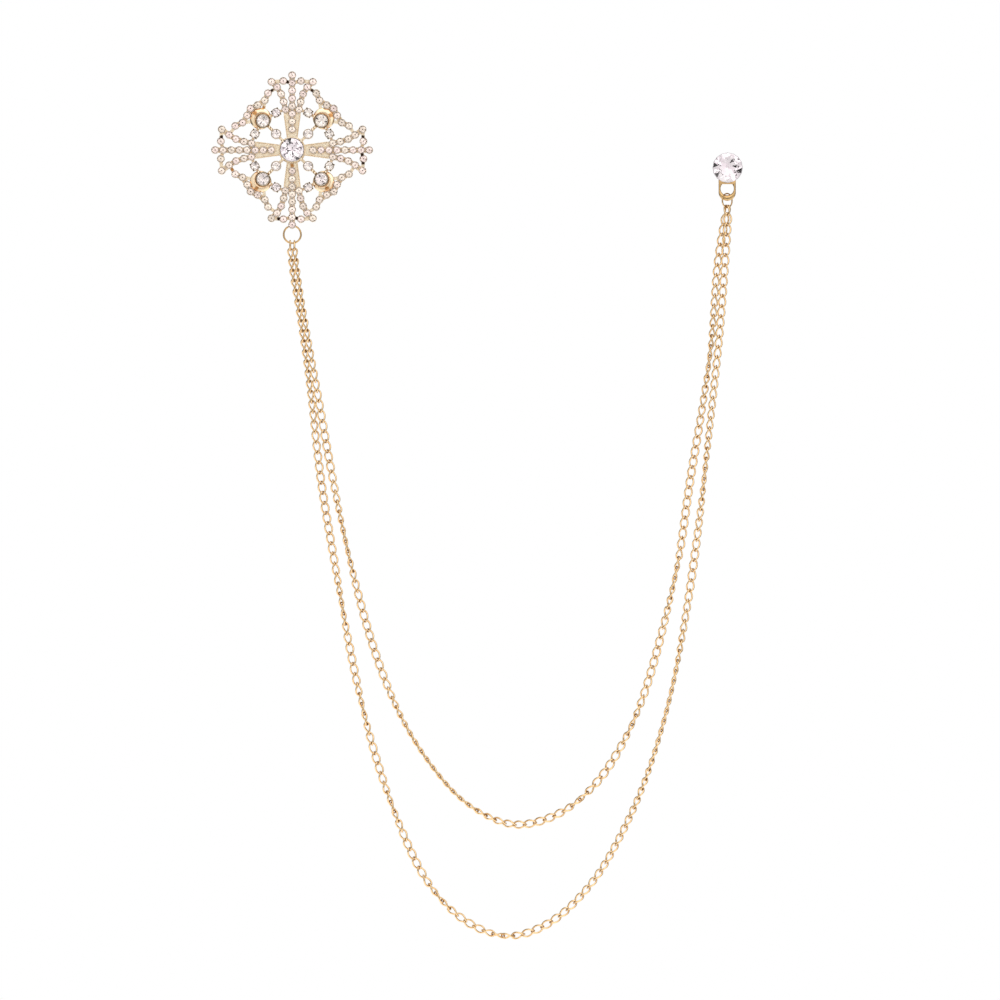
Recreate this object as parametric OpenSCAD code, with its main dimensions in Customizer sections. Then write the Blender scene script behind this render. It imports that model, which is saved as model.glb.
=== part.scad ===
// Lapel chain: a stone-set cross brooch and a stone stud, joined by two curb chains.
// Millimetres. +Z is up, +X runs from the brooch to the stud, and the wearer's cloth
// lies at y = 0 behind the jewel, so the front faces -Y.
// The origin is the middle of the back of the brooch's pin bar, where it meets the cloth.

/* [Brooch] */
// Distance from the brooch's middle to the last stone of the left and right arms
level_reach = 21.4; // [21.4:0.1:22.5]
// How much shorter the top and bottom arms are
upright_short = 0.6; // [0:0.1:0.6]
// Thickness of the pierced plate
plate_t = 0.9; // [0.8:0.1:1.2]
// Width of the strips that carry the rows of small stones
strip_w = 1.5; // [1.2:0.1:1.8]
// Diameter of the stone in the middle
centre_stone_d = 6.6; // [6:0.1:6.8]
// Diameter of the four stones in milled collets
corner_stone_d = 3.3; // [3:0.1:3.4]
// Diameter of the four stones between the collets and the middle
inner_stone_d = 2.4; // [2:0.1:2.5]
// Diameter of the eight clawed stones between the collets and the arms
side_stone_d = 2.2; // [1.8:0.1:2.3]
// Diameter of each small stone
small_stone_d = 1.86; // [1.7:0.02:1.88]

/* [Settings] */
// Gap between a stone's girdle and its setting
stone_gap = 0.05; // [0.04:0.01:0.08]
// Wall of a small stone's cup
small_wall = 0.1; // [0.08:0.01:0.12]
// Wall of a larger stone's collet
collet_wall = 0.25; // [0.2:0.05:0.3]

/* [Pin and rings] */
// Length of the brooch's pin bar
pin_bar_l = 24; // [20:1:24]
// Diameter of the pin's stem
pin_d = 0.9; // [0.8:0.05:1.1]
// Outer diameter of the ring under the brooch
brooch_ring_d = 5.3; // [5.1:0.1:5.6]
// Outer diameter of the ring under the stud
stud_ring_d = 4.3; // [4.2:0.05:4.4]
// Turn of the stud's ring about the vertical
stud_ring_turn = 45; // [40:1:50]

/* [Chains] */
// Width of each chain
chain_w = 2.4; // [2.2:0.1:2.4]
// Diameter of the chain's wire
chain_wire = 0.48; // [0.44:0.02:0.52]
// Rings of the swept chain between two points of its route
rings_per_span = 2; // [2:1:3]

/* [Stud] */
// Diameter of the stud's stone
stud_stone_d = 8.4; // [8:0.1:8.4]
// Diameter of the stud's post
post_d = 1.0; // [0.9:0.05:1.1]
// Length of the post behind the cup
post_l = 9; // [8:0.5:10]
// Diameter of the clutch that holds the post
clutch_d = 6; // [5.5:0.5:7]

/* [Hidden] */
$fn = 48;
ARMS = ["top", "left", "bottom", "right"];
CORNERS = ["top_left", "bottom_left", "bottom_right", "top_right"];

GOLD = [0.86, 0.68, 0.44];
PALE_GOLD = [0.9, 0.78, 0.6];
STONE = [0.93, 0.91, 0.92];

// The brooch is drawn lying down: x to the right, y up its face, z towards the viewer.
// Its plate stands this far in front of the cloth, so that the rings hang in the plane y = 0.
plate_back = 0.75;
bar_gap = 0.1;
pin_bar_w = 2.4;
pin_post_l = 1.6;
pin_post_lip = 0.35;
pin_cloth_room = 2.4;

// Rows of small stones on one arm: distance from the middle along the arm, and to the side.
column_first = 5.8;
column_count = 8;
edge_row = [[11.3, 1.9], [13.4, 2.35], [15.6, 3.05], [17.5, 4.2]];
ear_stone = [19.55, 5.75];
arc_stone = [19.8, 2.45];
// Tapered bar of each arm: distance from the middle, and half its width there.
arm_bar = [[3, 1.45], [9.6, 2.35], [12, 2.4]];
outer_strip_w = 1;
// Border between two arms: to the side, and up, from the upper arm's side to the diagonal.
border_half = [[6.7, 15.8], [7.6, 13.8], [9.6, 12.5]];
border_middle = 11.55;
// Larger stones of one quadrant, on the diagonal and beside it.
corner_at = 8.1;
crescent_at = 8.75;
crescent_r = 3.0;
inner_at = 4.45;
side_at = [4.45, 10.35];
// Joins: widths, where the horn of the crescent ends, and the beads on them.
join_w = 0.8;
border_join_w = 0.9;
crescent_join_w = 2.6;
horn_at = [8, 10.6];
diagonal_beads = [5.72, 6.35];
side_bead = [6.15, 9.35];
bead_r = 0.45;
bead_h = 1.4;
// Claws: radius of those of the side stones and of the centre stone.
side_claw_r = 0.25;
centre_claw_r = 0.42;
side_claw_rise = 0.3;
centre_claw_rise = 0.4;

small_cup_r = small_stone_d / 2 + stone_gap + small_wall;
corner_r = corner_stone_d / 2 + stone_gap + collet_wall;
inner_r = inner_stone_d / 2 + stone_gap + 0.2;
side_r = side_stone_d / 2 + stone_gap + 0.15;
centre_r = centre_stone_d / 2 + stone_gap + 0.15;

// Heights above the plate's back.
small_cup_h = 1.5;
corner_h = 2.1;
inner_h = 1.8;
side_h = 1.6;
centre_h = 3.5;
pocket_floor = 0.5;
pocket_h = 5;
girdle_drop = 0.1;

// Bail behind the bottom tip, and the ring that hangs from it.
bail_r = 0.85;
bail_wire = 0.6;
bail_z = -20.8;
ring_wire = 0.5;
hang_gap = 0.1;
brooch_ring_r = (brooch_ring_d - ring_wire) / 2;
brooch_ring_z = bail_z - bail_r + (bail_wire + ring_wire) / 2 + hang_gap - brooch_ring_r;

// Stud: middle of the stone, its loop, and the ring that hangs from the loop.
stud_at = [120.9, 0, -5];
loop_r = 2.4;
loop_hole_r = 1.85;
loop_hole_up = 1;
loop_hole_top = 2.25;
loop_top = 5.2;
loop_t = 0.7;
loop_z = stud_at[2] - 6.65;
basket_r = 3.5;
basket_h = 2.8;
basket_floor = 0.4;
base_r = 3;
stud_girdle = 4;
cloth_room = 3;
clutch_flange = 1.2;
clutch_h = 3.6;
clutch_fit = 0.05;
basket_wall = 0.5;
stud_ring_wire = 0.4;
stud_hang_gap = 0.28;
stud_ring_r = (stud_ring_d - stud_ring_wire) / 2;
stud_ring_z = loop_z + loop_hole_up - loop_hole_r + stud_hang_gap + stud_ring_wire / 2 - stud_ring_r;

// End links: centreline length and width, lean from the vertical, and place along the ring's wire.
link_l = 2.85;
link_w = 1.75;
link_lean = 20;
link_side = 0.6;
stud_link_side = 0.45;

// Routes of the chains' middle lines, point by point from the brooch to the stud.
long_route = [
    [-0.6, 1.2, -28.4], [0, 1.3, -34], [2, 1.3, -46], [5, 1.2, -67], [8, 0.6, -92],
    [12, 0, -116], [16.5, 0, -141], [22, 0, -164.5], [29, 0, -185.5], [37, 0, -202.5],
    [47, 0, -213.5], [59.5, 0, -218.5], [72, 0, -214.5], [83, 0, -204], [91, 0, -191],
    [98.5, 0, -174], [105, 0, -152], [109.5, 0, -128.5], [113, 0, -104], [116, -0.6, -77],
    [118.5, -1.1, -53.5], [120.2, -1.2, -32], [121.2, -1.2, -18.6]
];
short_route = [
    [0.7, -1.2, -28.4], [1.5, -1.3, -34], [3.3, -1.3, -46], [7, -1.2, -67.5], [11, -0.6, -90],
    [16, 0, -114], [22.5, 0, -138], [30, 0, -157], [39, 0, -171.5], [49, 0, -182],
    [61.5, 0, -187.5], [74, 0, -184.5], [84, 0, -176.5], [91.5, 0, -165.5], [97.5, 0, -152],
    [103, 0, -133], [107.5, 0, -113], [110.5, 0.5, -92.5], [114, 1.1, -71.5], [116.5, 1.2, -53.5],
    [118.2, 1.2, -32], [120.2, 1.2, -18.6]
];

// Points on a smooth curve through p1 and p2, at t from 0 to 1 between them.
function between(p0, p1, p2, p3, t) =
    (2 * p1 + (p2 - p0) * t + (2 * p0 - 5 * p1 + 4 * p2 - p3) * t * t
        + (3 * p1 - p0 - 3 * p2 + p3) * t * t * t) / 2;

// The whole curve through a route, with n steps in each span.
function curve(route, n) = concat(
    [for (i = [0:len(route) - 2], k = [0:n - 1])
        between(route[max(i - 1, 0)], route[i], route[i + 1], route[min(i + 2, len(route) - 1)], k / n)],
    [route[len(route) - 1]]
);

function unit(v) = v / norm(v);

// Direction of a curve at point i, on an open or a closed path.
function along(path, i, closed) =
    let (n = len(path))
    closed ? unit(path[(i + 1) % n] - path[(i + n - 1) % n])
        : unit(path[min(i + 1, n - 1)] - path[max(i - 1, 0)]);

// A round wire along a path that never runs parallel to the side vector.
module wire(path, r, sides, closed, side) {
    n = len(path);
    points = [for (i = [0:n - 1])
        let (d = along(path, i, closed), u = unit(cross(side, d)), v = cross(d, u))
        for (k = [0:sides - 1]) path[i] + r * (cos(360 * k / sides) * u + sin(360 * k / sides) * v)];
    spans = closed ? n - 1 : n - 2;
    walls = [for (i = [0:spans], k = [0:sides - 1])
        let (j = (i + 1) % n, m = (k + 1) % sides)
        [i * sides + k, i * sides + m, j * sides + m, j * sides + k]];
    first_end = [for (k = [sides - 1:-1:0]) k];
    last_end = [for (k = [0:sides - 1]) (n - 1) * sides + k];
    polyhedron(points, closed ? walls : concat(walls, [first_end, last_end]), convexity = 10);
}

// Faces listed the other way round, so that they face outwards.
function flipped(faces) = [for (f = faces) [for (i = [len(f) - 1:-1:0]) f[i]]];

// Small stone: an octagonal table, eight crown facets and eight pavilion facets.
module small_gem(d) {
    r = d / 2;
    ring = function(radius, z) [for (k = [0:7]) [radius * cos(45 * k), radius * sin(45 * k), z]];
    points = concat(ring(0.58 * r, 0.32 * r), ring(r, 0), [[0, 0, -0.84 * r]]);
    crown = [for (k = [0:7]) [k, 8 + k, 8 + (k + 1) % 8, (k + 1) % 8]];
    pavilion = [for (k = [0:7]) [8 + k, 16, 8 + (k + 1) % 8]];
    polyhedron(points, flipped(concat([[for (k = [0:7]) k]], crown, pavilion)));
}

// Brilliant cut stone: table, stars, kites, girdle facets, and a pavilion of kites and halves.
// The girdle's lower edge lies at z = 0.
module brilliant(d) {
    r = d / 2;
    crown_h = 0.3 * r;
    pavilion_h = 0.84 * r;
    girdle_h = 0.05 * r;
    table_r = 0.57 * r;
    star_r = 0.78 * r;
    star_z = girdle_h + crown_h * (r - star_r * cos(22.5)) / (r - table_r);
    lower_r = 0.25 * r;
    lower_z = -pavilion_h * (1 - lower_r * cos(22.5) / r);
    ring = function(n, radius, z, turn) [for (k = [0:n - 1])
        [radius * cos(360 * k / n + turn), radius * sin(360 * k / n + turn), z]];
    // Points 0-7 table, 8-15 stars, 16-31 girdle top, 32-47 girdle foot, 48-55 lower, 56 culet.
    points = concat(
        ring(8, table_r, girdle_h + crown_h, 0), ring(8, star_r, star_z, 22.5),
        ring(16, r, girdle_h, 0), ring(16, r, 0, 0), ring(8, lower_r, lower_z, 22.5), [[0, 0, -pavilion_h]]
    );
    faces = concat(
        [[for (k = [0:7]) k]],
        [for (k = [0:7]) [k, 8 + k, (k + 1) % 8]],
        [for (k = [0:7]) [k, 8 + (k + 7) % 8, 16 + 2 * k]],
        [for (k = [0:7]) [k, 16 + 2 * k, 8 + k]],
        [for (k = [0:7]) [8 + k, 16 + 2 * k, 17 + 2 * k]],
        [for (k = [0:7]) [8 + k, 17 + 2 * k, 16 + (2 * k + 2) % 16]],
        [for (k = [0:15]) [16 + k, 32 + k, 32 + (k + 1) % 16, 16 + (k + 1) % 16]],
        [for (k = [0:7]) [48 + k, 33 + 2 * k, 32 + 2 * k]],
        [for (k = [0:7]) [48 + k, 32 + (2 * k + 2) % 16, 33 + 2 * k]],
        [for (k = [0:7]) [56, 48 + k, 32 + 2 * k]],
        [for (k = [0:7]) [56, 32 + 2 * k, 48 + (k + 7) % 8]]
    );
    polyhedron(points, flipped(faces));
}

// Stands what is drawn lying down, with its back against the plate's place.
module stand() translate([0, -plate_back, 0]) rotate([90, 0, 0]) children();

// Turns what is drawn for the top arm to arm k, counted towards the left.
module on_arm(k) rotate(90 * k) children();

// Both sides of a thing drawn on the right of an upright line, or of the diagonal.
module both_sides() {
    children();
    mirror([1, 0, 0]) children();
}
module both_halves() {
    children();
    mirror([1, -1, 0]) children();
}

// Quadrant k, counted from the top left, drawn for the top right.
module in_quadrant(k) rotate(90 * (k + 1)) children();

// Place of a quadrant's side stone as drawn, so that an odd number gives the one beside an upright arm.
function side_place(k) = k % 2 == 1 ? side_at : swap(side_at);

// Flat strip of one width along a line of points.
module strip(line, w) {
    n = len(line);
    side = function(i)
        let (d = unit(line[min(i + 1, n - 1)] - line[max(i - 1, 0)])) [-d[1], d[0]] * w / 2;
    polygon(concat([for (i = [0:n - 1]) line[i] + side(i)], [for (i = [n - 1:-1:0]) line[i] - side(i)]));
}

function swap(p) = [p[1], p[0]];

// Places on arm k, drawn for the top arm: its ear, its outer arc and its last stone lie
// further in on an upright arm.
function shortfall(k) = k % 2 == 0 ? upright_short : 0;
function ear(k) = [ear_stone[1], ear_stone[0] - shortfall(k)];
function arc(k) = [arc_stone[1], arc_stone[0] - shortfall(k)];
function reach(k) = level_reach - shortfall(k);
function column_place(k, i) = [0, column_first + i * (reach(k) - column_first) / (column_count - 1)];
function arm_places(k) = concat(
    [for (i = [0:column_count - 1]) column_place(k, i)],
    [for (p = concat([for (e = edge_row) swap(e)], [ear(k), arc(k)]), s = [-1, 1]) [s * p[0], p[1]]]
);

// Places of the small stones of the top right border.
function border_places() = concat(
    border_half,
    [[border_middle, border_middle]],
    [for (i = [len(border_half) - 1:-1:0]) swap(border_half[i])]
);

// Outline of arm k: the tapered bar, the column's strip and the two edges of the fan.
module arm_plate(k) {
    polygon(concat([for (b = arm_bar) [b[1], b[0]]], [for (i = [2:-1:0]) [-arm_bar[i][1], arm_bar[i][0]]]));
    translate([-strip_w / 2, arm_bar[1][0]]) square([strip_w, reach(k) - arm_bar[1][0]]);
    both_sides() {
        strip(concat([for (e = edge_row) swap(e)], [ear(k)]), strip_w);
        strip([ear(k), arc(k), column_place(k, column_count - 2)], outer_strip_w);
    }
}

// Outline of what lies between two arms, drawn for the top right.
module quadrant_plate() {
    strip(border_places(), strip_w);
    translate([crescent_at, crescent_at]) circle(crescent_r);
    strip([[crescent_at, crescent_at], [border_middle, border_middle]], crescent_join_w);
    strip([[0, 0], [inner_at, inner_at], [corner_at, corner_at]], join_w);
    both_halves() {
        strip([border_half[0], swap(edge_row[3])], border_join_w);
        strip([border_half[1], horn_at], border_join_w);
        strip([[corner_at, corner_at], side_at, swap(edge_row[0])], join_w);
    }
}

// Beads on the joins between the larger settings.
module quadrant_beads() {
    for (t = diagonal_beads) translate([t, t, 0]) cylinder(r = bead_r, h = bead_h, $fn = 24);
    both_halves() translate(side_bead) cylinder(r = bead_r, h = bead_h, $fn = 24);
}

// Four claws around a stone.
module claws(around, r, h, turn) {
    for (k = [0:3]) rotate(90 * k + turn) translate([around, 0, 0]) cylinder(r = r, h = h, $fn = 24);
}

// Solid settings of one arm and one quadrant, and the pockets to take out of them.
module cups(places) for (p = places) translate(p) cylinder(r = small_cup_r, h = small_cup_h);
module pockets(places, d)
    for (p = places) translate([p[0], p[1], pocket_floor]) cylinder(r = d / 2 + stone_gap, h = pocket_h);

module quadrant_settings() {
    translate([corner_at, corner_at, 0]) cylinder(r = corner_r, h = corner_h);
    translate([inner_at, inner_at, 0]) cylinder(r = inner_r, h = inner_h);
    both_halves() translate(side_at) {
        cylinder(r = side_r, h = side_h);
        claws(side_r, side_claw_r, side_h + side_claw_rise, 15);
    }
}

module quadrant_pockets() {
    pockets([[corner_at, corner_at]], corner_stone_d);
    pockets([[inner_at, inner_at]], inner_stone_d);
    pockets([side_at, swap(side_at)], side_stone_d);
}

module brooch_frame() color(GOLD) stand() {
    difference() {
        union() {
            linear_extrude(plate_t) {
                circle(centre_r + 0.3);
                for (k = [0:3]) {
                    on_arm(k) arm_plate(k);
                    in_quadrant(k) quadrant_plate();
                }
            }
            cylinder(r = centre_r, h = centre_h);
            claws(centre_r + 0.1, centre_claw_r, centre_h + centre_claw_rise, 45);
            for (k = [0:3]) {
                on_arm(k) cups(arm_places(k));
                in_quadrant(k) {
                    cups(border_places());
                    quadrant_settings();
                    quadrant_beads();
                }
            }
        }
        pockets([[0, 0]], centre_stone_d);
        for (k = [0:3]) {
            on_arm(k) pockets(arm_places(k), small_stone_d);
            in_quadrant(k) {
                pockets(border_places(), small_stone_d);
                quadrant_pockets();
            }
        }
    }
    translate([0, bail_z, -plate_back]) rotate([0, 90, 0])
        rotate_extrude() translate([bail_r, 0]) circle(bail_wire / 2, $fn = 24);
}

// Plain pin: a bar against the arms' backs, a stem behind it, and a post at each end.
module brooch_pin() color(GOLD) stand() {
    stem_z = -plate_back - pin_cloth_room - pin_d / 2;
    post_low = stem_z - pin_d / 2 - pin_post_lip;
    translate([-pin_bar_l / 2, -pin_bar_w / 2, -plate_back])
        cube([pin_bar_l, pin_bar_w, plate_back - bar_gap]);
    for (x = [-pin_bar_l / 2, pin_bar_l / 2 - pin_post_l])
        translate([x, -pin_bar_w / 2, post_low]) cube([pin_post_l, pin_bar_w, -bar_gap - post_low]);
    translate([-pin_bar_l / 2 + pin_post_l / 2, 0, stem_z]) rotate([0, 90, 0])
        cylinder(d = pin_d, h = pin_bar_l - pin_post_l);
}

// Stones stand with their girdles just below the rim of their settings.
module set_stone(place, h, d) translate([place[0], place[1], h - girdle_drop]) brilliant(d);
module field(places)
    for (p = places) translate([p[0], p[1], small_cup_h - girdle_drop]) small_gem(small_stone_d);

module centre_stone() color(STONE) stand() set_stone([0, 0], centre_h, centre_stone_d);
module corner_stone(k) color(STONE) stand() in_quadrant(k)
    set_stone([corner_at, corner_at], corner_h, corner_stone_d);
module inner_stone(k) color(STONE) stand() in_quadrant(k)
    set_stone([inner_at, inner_at], inner_h, inner_stone_d);
module side_stone(k, place) color(STONE) stand() in_quadrant(k)
    set_stone(place, side_h, side_stone_d);
module arm_stones(k) color(STONE) stand() on_arm(k) field(arm_places(k));
module border_stones(k) color(STONE) stand() in_quadrant(k) field(border_places());

module brooch_ring() color(GOLD) translate([0, 0, brooch_ring_z]) rotate([90, 0, 0])
    rotate_extrude() translate([brooch_ring_r, 0]) circle(d = ring_wire, $fn = 24);

module stud_ring() color(GOLD) translate([stud_at[0], 0, stud_ring_z]) rotate([0, 0, stud_ring_turn])
    rotate([90, 0, 0]) rotate_extrude() translate([stud_ring_r, 0]) circle(d = stud_ring_wire, $fn = 24);

// End link hanging on a ring's wire, at a place along the wire, with a lean across it.
module end_link(ring_r, wire_d, at, lean) color(PALE_GOLD) {
    top = wire_d / 2 + hang_gap + chain_wire / 2;
    path = [for (k = [0:15]) [0, link_w / 2 * sin(22.5 * k), link_l / 2 * cos(22.5 * k) + top - link_l / 2]];
    translate([at, 0, -sqrt(ring_r * ring_r - at * at)]) rotate([lean, 0, 0])
        wire(path, chain_wire / 2, 6, true, [1, 0, 0]);
}

module brooch_end_link(at, lean) translate([0, 0, brooch_ring_z])
    end_link(brooch_ring_r, ring_wire, at, lean);
module stud_end_link(at, lean) translate([stud_at[0], 0, stud_ring_z]) rotate([0, 0, stud_ring_turn])
    end_link(stud_ring_r, stud_ring_wire, at, lean);

module chain(route) color(PALE_GOLD) wire(curve(route, rings_per_span), chain_w / 2, 8, false, [0, 1, 0]);

// Stud: basket, flat loop under it and post behind it, all one piece.
module stud_cup() color(GOLD) translate(stud_at) {
    stand() {
        difference() {
            cylinder(r = basket_r, h = basket_h);
            translate([0, 0, basket_floor]) cylinder(r = basket_r - basket_wall, h = basket_h);
        }
        translate([0, 0, -plate_back - loop_t / 2]) cylinder(r = base_r, h = plate_back + loop_t);
        translate([0, 0, -plate_back - post_l]) cylinder(d = post_d, h = post_l);
    }
    translate([0, 0, loop_z - stud_at[2]]) rotate([90, 0, 0]) translate([0, 0, -loop_t / 2])
        linear_extrude(loop_t) difference() {
            union() {
                circle(loop_r);
                translate([-loop_r, 0]) square([2 * loop_r, loop_top]);
            }
            intersection() {
                translate([0, loop_hole_up]) circle(loop_hole_r);
                translate([-loop_r, -loop_r]) square([2 * loop_r, loop_r + loop_hole_top]);
            }
        }
}

module stud_stone() color(STONE) translate(stud_at) stand()
    translate([0, 0, stud_girdle]) brilliant(stud_stone_d);

// Plain clutch on the post, with room for the cloth between it and the cup.
module stud_clutch() color(GOLD) translate(stud_at + [0, cloth_room, 0]) rotate([-90, 0, 0]) difference() {
    union() {
        cylinder(d = clutch_d, h = clutch_flange);
        cylinder(d = clutch_d - 1.6, h = clutch_h);
    }
    translate([0, 0, -1]) cylinder(d = post_d + 2 * clutch_fit, h = clutch_h + 2);
}

brooch_frame();
brooch_pin();
centre_stone();
for (k = [0:3]) {
    corner_stone(k);
    inner_stone(k);
    side_stone(k, side_place(k));
    side_stone(k, side_place(k + 1));
    arm_stones(k);
    border_stones(k);
}
brooch_ring();
brooch_end_link(-link_side, link_lean);  // long_chain_first_link
brooch_end_link(link_side, -link_lean);  // short_chain_first_link
chain(long_route);  // long_chain
chain(short_route);  // short_chain
stud_end_link(-stud_link_side, -link_lean);  // long_chain_last_link
stud_end_link(stud_link_side, link_lean);  // short_chain_last_link
stud_ring();
stud_cup();
stud_stone();
stud_clutch();
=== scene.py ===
import math
import random

import bmesh
import bpy
from mathutils import Matrix, Vector


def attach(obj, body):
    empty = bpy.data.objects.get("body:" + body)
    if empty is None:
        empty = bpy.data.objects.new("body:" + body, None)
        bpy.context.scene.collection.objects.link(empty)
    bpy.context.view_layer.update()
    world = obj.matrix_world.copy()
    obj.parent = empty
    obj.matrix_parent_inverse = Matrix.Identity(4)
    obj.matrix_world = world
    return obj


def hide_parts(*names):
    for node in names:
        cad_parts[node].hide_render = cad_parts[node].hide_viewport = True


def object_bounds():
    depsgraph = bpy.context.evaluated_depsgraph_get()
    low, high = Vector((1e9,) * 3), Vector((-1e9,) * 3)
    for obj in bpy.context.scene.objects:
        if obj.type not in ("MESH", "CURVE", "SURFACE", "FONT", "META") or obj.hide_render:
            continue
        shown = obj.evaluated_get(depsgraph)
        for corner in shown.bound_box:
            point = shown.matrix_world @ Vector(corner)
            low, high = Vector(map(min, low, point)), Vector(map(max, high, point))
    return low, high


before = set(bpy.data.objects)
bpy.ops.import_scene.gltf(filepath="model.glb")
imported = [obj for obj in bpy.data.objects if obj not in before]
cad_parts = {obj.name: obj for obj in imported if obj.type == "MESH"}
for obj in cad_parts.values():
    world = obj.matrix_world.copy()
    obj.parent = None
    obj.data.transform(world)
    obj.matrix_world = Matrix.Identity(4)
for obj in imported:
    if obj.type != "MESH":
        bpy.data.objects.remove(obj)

bl_info = {
    "name": "Lapel chain",
    "version": (1, 0, 0),
    "blender": (4, 5, 0),
    "location": "3D View > Sidebar > Lapel chain",
    "description": "Dresses the cross brooch, its two curb chains and the stone stud",
    "category": "Object",
}

CAD_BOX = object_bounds()
MM = 0.001
BODY = "root"

# Sizes of the brooch, in millimetres, drawn lying down: x right, y up its face, z to the viewer.
PLATE_BACK = 0.75
PLATE_T = 0.9
ARMS = ("top", "left", "bottom", "right")
CORNERS = ("top_left", "bottom_left", "bottom_right", "top_right")
LEVEL_REACH = 21.4
UPRIGHT_SHORT = 0.6
COLUMN_FIRST = 5.8
COLUMN_COUNT = 8
EDGE_ROW = ((1.9, 11.3), (2.35, 13.4), (3.05, 15.6), (4.2, 17.5))
EAR = (5.75, 19.55)
ARC = (2.45, 19.8)
BORDER_HALF = ((6.7, 15.8), (7.6, 13.8), (9.6, 12.5))
BORDER_MIDDLE = (11.55, 11.55)
BAR_FROM = (1.45, 3.0)
BAR_TO = (2.35, 9.6)
MILGRAIN_FROM = (BAR_FROM[0] - 0.05, BAR_FROM[1] + 0.9)
MILGRAIN_TO = (BAR_TO[0] - 0.25, BAR_TO[1])
SMALL_R = 0.93
SMALL_CUP_R = 1.08
SMALL_CUP_H = 1.5
PRONG_REACH = SMALL_R + 0.04
PRONG_H = SMALL_CUP_H + 0.06
CENTRE_R = 3.3
CENTRE_CUP_R = 3.5
CENTRE_H = 3.5
CENTRE_CLAW_H = 3.9
CORNER_AT = (8.1, 8.1)
CORNER_R = 1.65
CORNER_CUP_R = 1.95
CORNER_H = 2.1
CRESCENT_AT = (8.75, 8.75)
CRESCENT_R = 3.0
INNER_AT = (4.45, 4.45)
INNER_R = 1.2
INNER_CUP_R = 1.45
INNER_H = 1.8
SIDE_AT = (4.45, 10.35)
SIDE_R = 1.1
SIDE_CUP_R = 1.3
SIDE_H = 1.6
SIDE_CLAW_H = 1.9
SIDE_CLAW_TURN = 15.0
GIRDLE_DROP = 0.1
BEADS_ON_DIAGONAL = ((5.72, 5.72), (6.35, 6.35))
BEAD_BESIDE = (6.15, 9.35)
BEAD_R = 0.45
BEAD_H = 1.4

# Rims on the settings: radius of the wire's middle line, height, thickness, and steps round it.
CENTRE_RIM = (CENTRE_CUP_R - 0.09, CENTRE_H, 0.17, 56)
CORNER_RIM = (CORNER_R + 0.13, CORNER_H, 0.16, 28)
INNER_RIM = (INNER_CUP_R - 0.08, INNER_H, 0.16, 28)
SIDE_RIM = (SIDE_CUP_R - 0.07, SIDE_H, 0.14, 28)
COLLET_LIP = (CORNER_CUP_R - 0.03, CORNER_H - 0.05, 0.18, 56)
COLLET_FOOT = (CORNER_CUP_R + 0.02, 1.2, 0.2, 28)

# Claw ends, beads and grains: radius, height of the middle, share of the radius that is kept below
# the middle, and sides. Reach is how far they stand from the middle of their setting.
CENTRE_CLAW = (0.43, CENTRE_CLAW_H - 0.1, 0.3, 16)
CENTRE_CLAW_REACH = CENTRE_CUP_R + 0.1
SIDE_CLAW = (0.2, SIDE_CLAW_H - 0.04, 0.3, 12)
BEAD = (BEAD_R, BEAD_H - 0.05, 0.2, 16)
COLLET_GRAIN = (0.14, CORNER_H - 0.02, 0.35, 10)
COLLET_GRAIN_REACH = CORNER_CUP_R - 0.04

# Cut of the stones: the small ones' culet as a share of their radius, how steep each pavilion is,
# and the most that a larger stone leans, in degrees.
CULET = 0.2
PAVILION_SLOPE = 0.84
LARGE_TILT = 4.0
# Worn facets by number: each eighth of a pavilion has two halves, then two kites, each of an
# inner and an outer part.
PAVILION_FACETS = 48
WORN_ON_CENTRE = (6, 20, 31, 32)
WORN_ON_STUD = (1, 19, 43)

# Seeds of the random draws: how the prongs are turned, and which facets are worn.
PRONG_SEED = 3
WEAR_SEED = 11

# Painted shade on the brooch's face, charted from the photo in millimetres, x right and y up: dark
# shadows in joins of small cups, orange shade of bounced light mostly where crescents meet them.
DARK_SHADE_AT = (
    (-5.55, 16.6), (5.55, 16.55), (-1.3, 18.9), (-19.6, 3.65), (19.65, 3.65),
    (19.45, -1.3), (19.7, -3.65), (-3.7, -19.1), (1.2, -18.93))
DARK_SHADE_R = 0.7
ORANGE_SHADE_AT = (
    (10.7, 9.7), (-10.3, 10.2), (-8.1, 11.8), (-16.65, -5.45), (-9.9, -10.6), (9.7, -10.6),
    (0.0, -4.3))
ORANGE_SHADE_R = 0.85
# The painted shade lies on the front only: how far forward it begins, and where it is full.
SHADE_BEGINS = PLATE_BACK + 0.3
SHADE_FULL = PLATE_BACK + 0.6

# Rings, end links and stud, in millimetres.
BROOCH_RING = {"middle": (0.0, 0.0, -23.4), "r": 2.4, "wire": 0.5, "turn": 0.0}
STUD_RING = {"middle": (120.9, 0.0, -13.97), "r": 1.95, "wire": 0.4, "turn": 45.0}
HANG_GAP = 0.1
END_LINK_L = 2.85
END_LINK_W = 1.75
STUD_AT = Vector((120.9, 0.0, -5.0))
STUD_R = 4.2
STUD_GIRDLE = 4.0
LOOP_Z = -11.65
LOOP_R = 2.4
LOOP_HOLE_R = 1.85
LOOP_HOLE_UP = 1.0
LOOP_HOLE_TOP = 2.25
LOOP_TOP = 3.6
LOOP_T = 0.7

# End links: the ring that each hangs on, its place along the wire in millimetres, and its lean
# in degrees.
END_LINKS = (
    ("long_chain_first_link", BROOCH_RING, -0.6, 20),
    ("short_chain_first_link", BROOCH_RING, 0.6, -20),
    ("long_chain_last_link", STUD_RING, -0.45, -20),
    ("short_chain_last_link", STUD_RING, 0.45, 20),
)

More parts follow.
